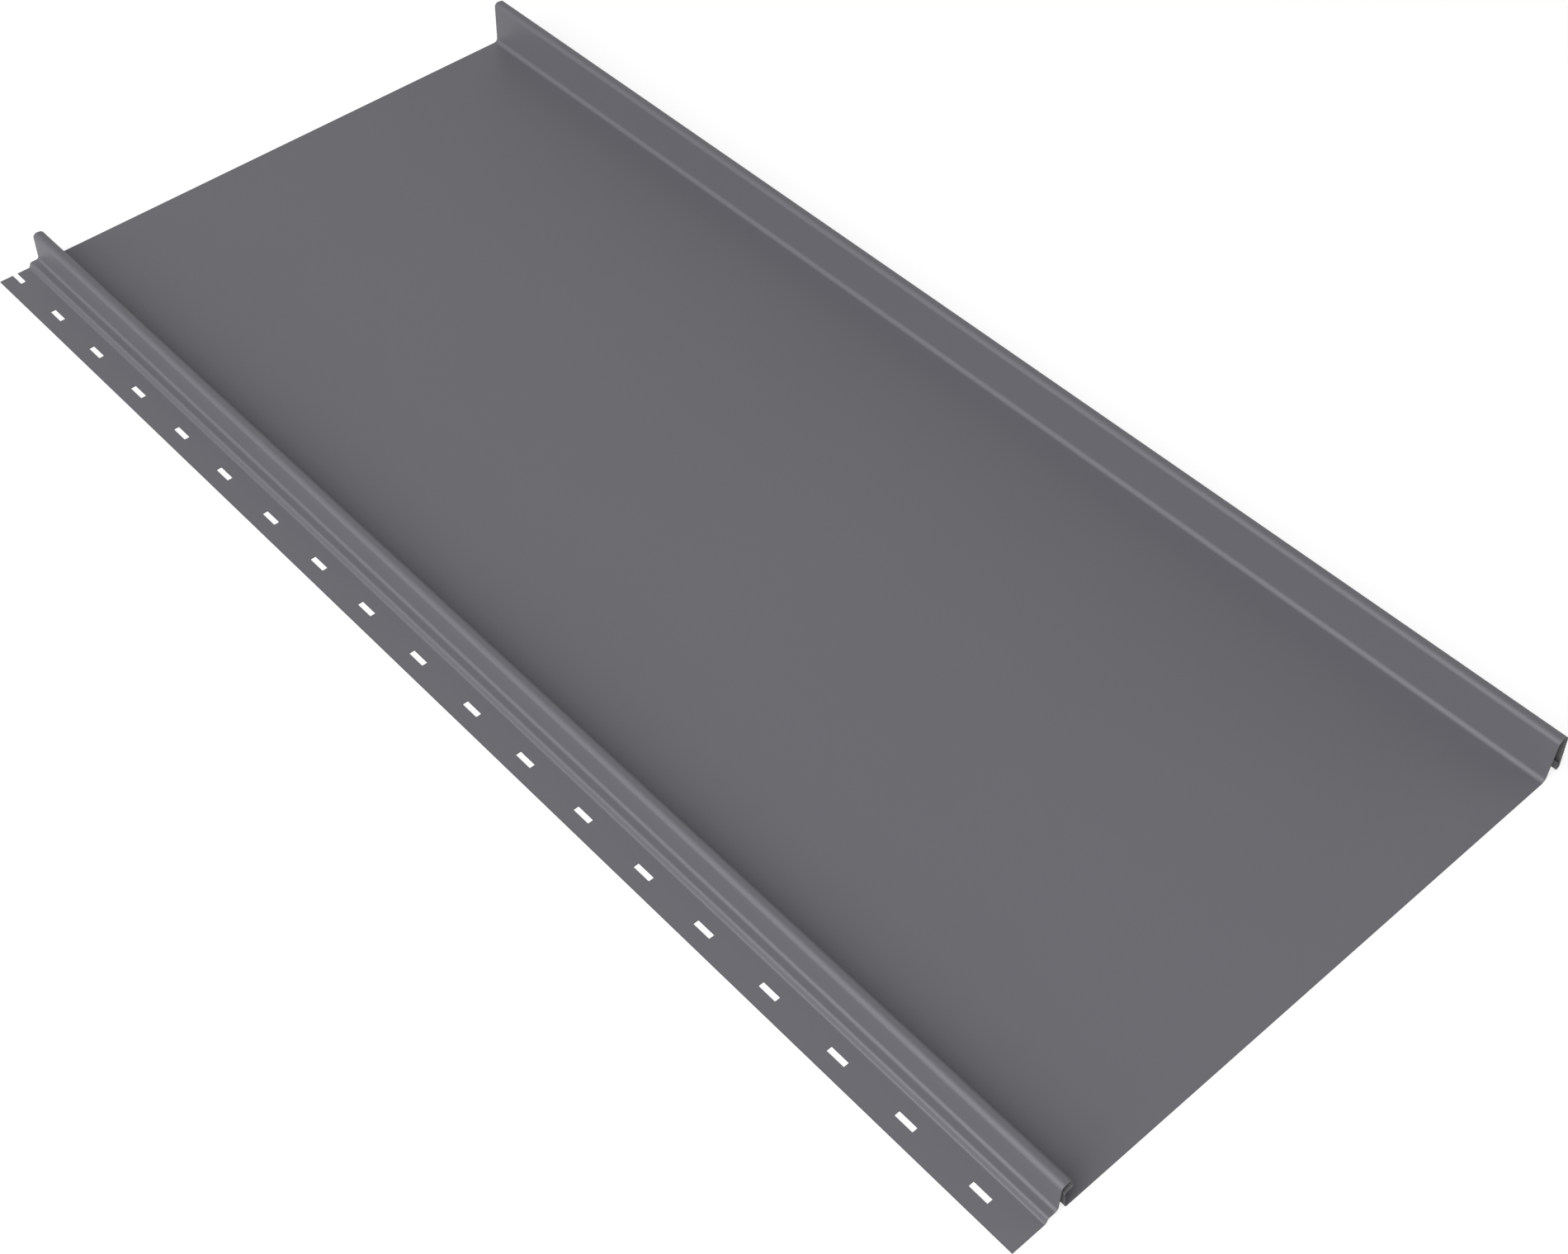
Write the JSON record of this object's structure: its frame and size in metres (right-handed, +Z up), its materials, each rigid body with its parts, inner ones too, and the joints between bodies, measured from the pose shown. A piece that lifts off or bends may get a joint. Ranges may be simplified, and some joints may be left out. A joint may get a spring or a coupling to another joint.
{
  "type": "standing seam roof panel",
  "caption": "Roll-formed steel roof panel with a flat pan, a punched nailing flange, a male snap seam on one long edge and a taller female seam on the other.",
  "frame": {"origin": "on the ground under the middle of the panel's bounding box", "axes": "+X across the panel from the nailing flange to the female seam, +Y along its length, +Z up, away from the roof deck"},
  "size_m": [0.4496, 0.9634, 0.0352],
  "materials": {
    "coated_steel": "satin dark grey coil coating on both faces, no dirt or damage"
  },
  "bodies": {
    "root": {"roof_panel": "coated_steel"}
  },
  "joints": []
}
